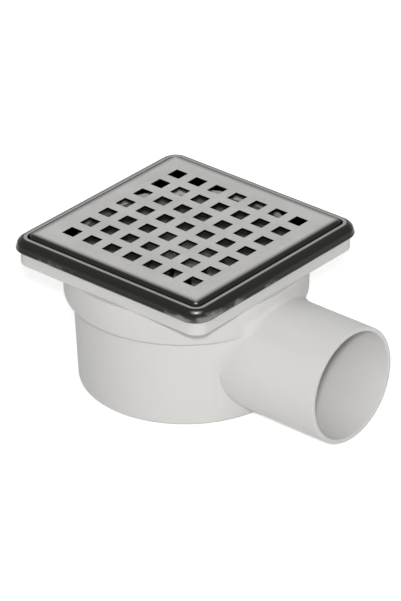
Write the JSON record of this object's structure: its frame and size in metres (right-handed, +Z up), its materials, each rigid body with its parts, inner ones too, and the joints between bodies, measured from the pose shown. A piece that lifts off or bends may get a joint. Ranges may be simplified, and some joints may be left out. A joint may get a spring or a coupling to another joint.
{
  "type": "gully trap",
  "caption": "Low floor gully trap with a round bowl, a side outlet spigot, a square head and a stainless frame and grate over a strainer and a lift-out water trap.",
  "frame": {"origin": "centre of the bowl's flat bottom", "axes": "+X runs along the outlet spigot towards its mouth, +Z is up towards the grate"},
  "size_m": [0.1397, 0.1034, 0.0679],
  "materials": {
    "body_plastic": "moulded ABS, pale warm grey, slightly satin",
    "polished_steel": "bright pressed stainless steel",
    "satin_steel": "satin stainless steel with a bright rolled edge",
    "insert_plastic": "moulded polypropylene, dark grey, glossy",
    "seal_rubber": "matt black EPDM"
  },
  "bodies": {
    "root": {"body": "body_plastic", "inlet_head": "body_plastic", "frame": "polished_steel", "grate": "satin_steel", "strainer": "insert_plastic", "trap_funnel": "insert_plastic", "trap_cup": "insert_plastic", "trap_seal": "seal_rubber"}
  },
  "joints": []
}
